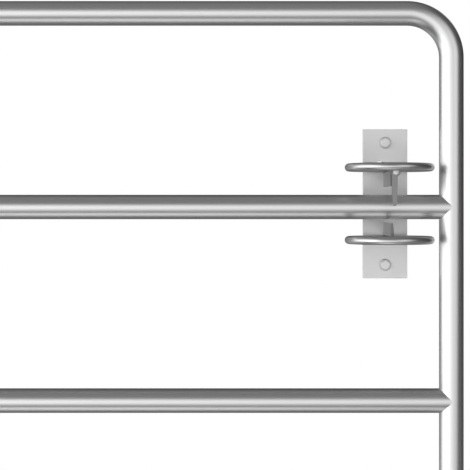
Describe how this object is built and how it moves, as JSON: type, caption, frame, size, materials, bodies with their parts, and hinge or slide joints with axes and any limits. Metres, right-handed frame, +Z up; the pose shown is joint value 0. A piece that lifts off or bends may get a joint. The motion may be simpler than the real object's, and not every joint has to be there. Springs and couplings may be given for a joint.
{
  "type": "five-bar tube farm gate with its hinges and ring-guarded latch",
  "caption": "Round-tube field gate: bent perimeter tube, welded rails, pin hinges and a plate latch with ring guards and a swinging catch.",
  "frame": {"origin": "centre of the lower hinge plate's back face, which bolts to the hinge post", "axes": "+X along the gate from its hinges to its latch, +Y into the post, +Z up; the gate opens towards -Y"},
  "size_m": [2.4782, 0.1272, 1.1],
  "materials": {
    "gate_tube": "smooth galvanised, satin",
    "latch_bar": "smooth galvanised, bright",
    "plate_steel": "galvanised plate, matt",
    "catch_steel": "galvanised, matt",
    "fasteners": "zinc plated, satin"
  },
  "bodies": {
    "fixed_ironwork": {"upper_hinge_plate": "plate_steel", "lower_hinge_plate": "plate_steel", "upper_hinge_pin": "fasteners", "lower_hinge_pin": "fasteners", "upper_hinge_screws": "fasteners", "lower_hinge_screws": "fasteners", "latch_plate": "plate_steel", "latch_screws": "fasteners", "upper_ring": "latch_bar", "lower_ring": "latch_bar", "upper_fin": "plate_steel", "lower_fin": "plate_steel", "catch_stud": "fasteners"},
    "gate_leaf": {"top_rail": "gate_tube", "second_rail": "gate_tube", "middle_rail": "gate_tube", "fourth_rail": "gate_tube", "bottom_rail": "gate_tube", "hinge_upright": "gate_tube", "latch_upright": "gate_tube", "top_hinge_bend": "gate_tube", "top_latch_bend": "gate_tube", "bottom_hinge_bend": "gate_tube", "bottom_latch_bend": "gate_tube", "upper_eye_bolt": "fasteners", "lower_eye_bolt": "fasteners", "upper_eye_nuts": "fasteners", "lower_eye_nuts": "fasteners"},
    "catch": {"catch": "catch_steel"}
  },
  "joints": [
    {"name": "gate_swing", "type": "hinge", "parent": "fixed_ironwork", "child": "gate_leaf", "pos_m": [0, -0.047, 0], "axis": [0, 0, -1], "range_deg": [0, 170]},
    {"name": "catch_swing", "type": "hinge", "parent": "fixed_ironwork", "child": "catch", "pos_m": [2.3471, -0.1081, 0.71337], "axis": [0, 1, 0], "range_deg": [-75, 75]}
  ]
}
